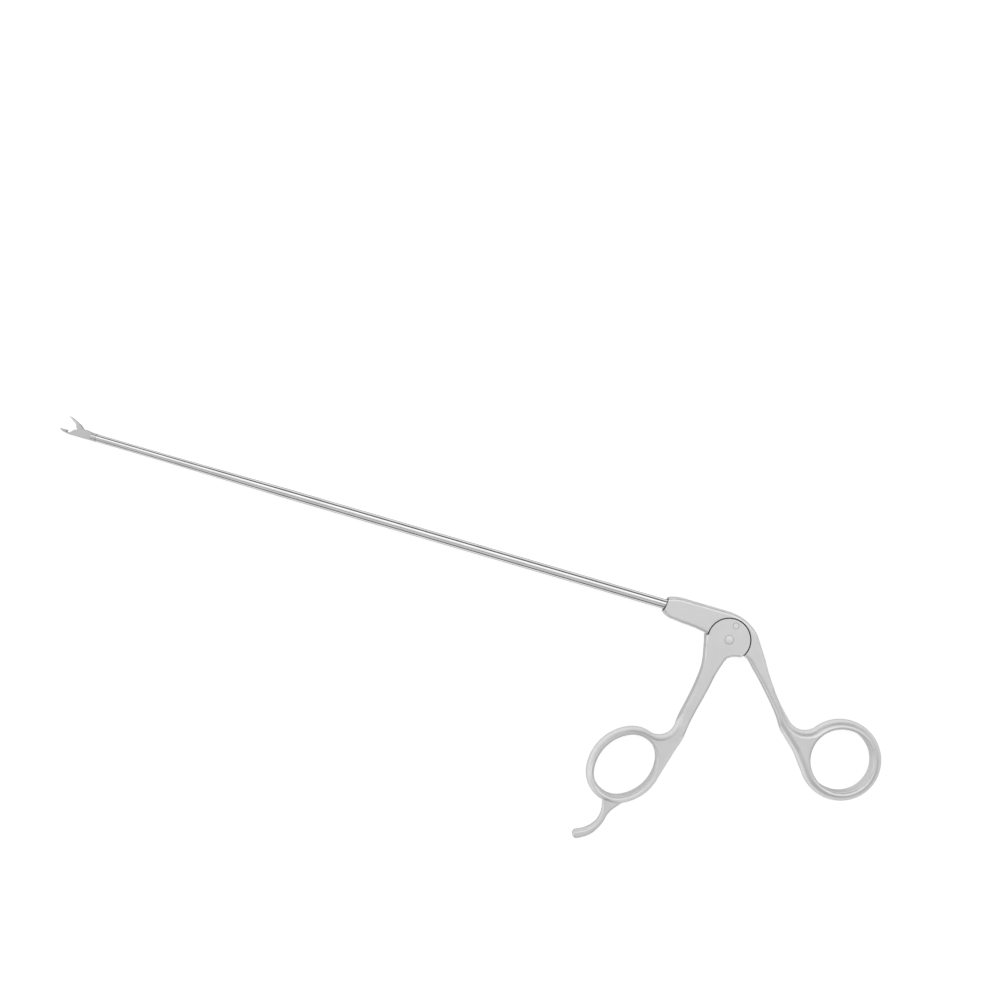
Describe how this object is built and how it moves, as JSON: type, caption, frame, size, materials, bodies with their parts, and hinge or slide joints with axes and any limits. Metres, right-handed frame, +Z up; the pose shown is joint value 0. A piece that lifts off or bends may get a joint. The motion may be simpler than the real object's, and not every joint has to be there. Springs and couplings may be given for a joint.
{
  "type": "arthroscopic suture grasper",
  "caption": "Ring-handled steel suture grasper with a long slender shaft, a fixed barbed lower jaw and a hinged upper jaw worked by a rod inside the shaft.",
  "frame": {"origin": "on the axis of the handle pivot, in the plane that the instrument rests on when it lies on its side", "axes": "+Z up out of the flat side, along the pivot and ring axes; the shaft runs towards -X; the rings hang towards -Y"},
  "size_m": [0.3557, 0.1058, 0.0077],
  "materials": {
    "satin_handle": "satin",
    "polished_tube": "polished",
    "jaw_steel": "satin",
    "turned_steel": "turned",
    "bright_steel": "polished",
    "bearing_bronze": "satin",
    "seal_rubber": "smooth",
    "guide_polymer": "smooth"
  },
  "bodies": {
    "frame": {"rear_handle": "satin_handle", "pivot_screw": "turned_steel", "pivot_nut": "turned_steel", "pivot_washer": "bearing_bronze", "handle_stop_pin": "bright_steel", "rod_guide_bushes": "guide_polymer", "outer_tube": "polished_tube", "tube_ferrule": "turned_steel", "tube_set_screw": "turned_steel", "rod_seal": "seal_rubber", "lower_jaw": "jaw_steel", "jaw_pivot_pin": "bright_steel"},
    "trigger": {"front_handle": "satin_handle", "drive_pin": "turned_steel", "drive_bush": "bearing_bronze"},
    "rod": {"rod_head": "turned_steel", "rod_lock_nut": "turned_steel", "actuating_rod": "bright_steel"},
    "jaw": {"upper_jaw": "jaw_steel", "link_pin": "bright_steel"}
  },
  "joints": [
    {"name": "handle_pivot", "type": "hinge", "parent": "frame", "child": "trigger", "pos_m": [0, 0, 0.0038], "axis": [0, 0, 1], "range_deg": [0, 10.45]},
    {"name": "rod_slide", "type": "slide", "parent": "frame", "child": "rod", "axis": [-1, 0, 0], "range_m": [0, 0.00113]},
    {"name": "jaw_hinge", "type": "hinge", "parent": "frame", "child": "jaw", "pos_m": [-0.2727, 0.00546, 0.0038], "axis": [0, 0, 1], "range_deg": [0, 37.52]}
  ],
  "couplings": [
    {"joint": "rod_slide", "follows": "handle_pivot", "m_per_rad": 0.0061708},
    {"joint": "jaw_hinge", "follows": "handle_pivot", "ratio": 3.5899}
  ]
}
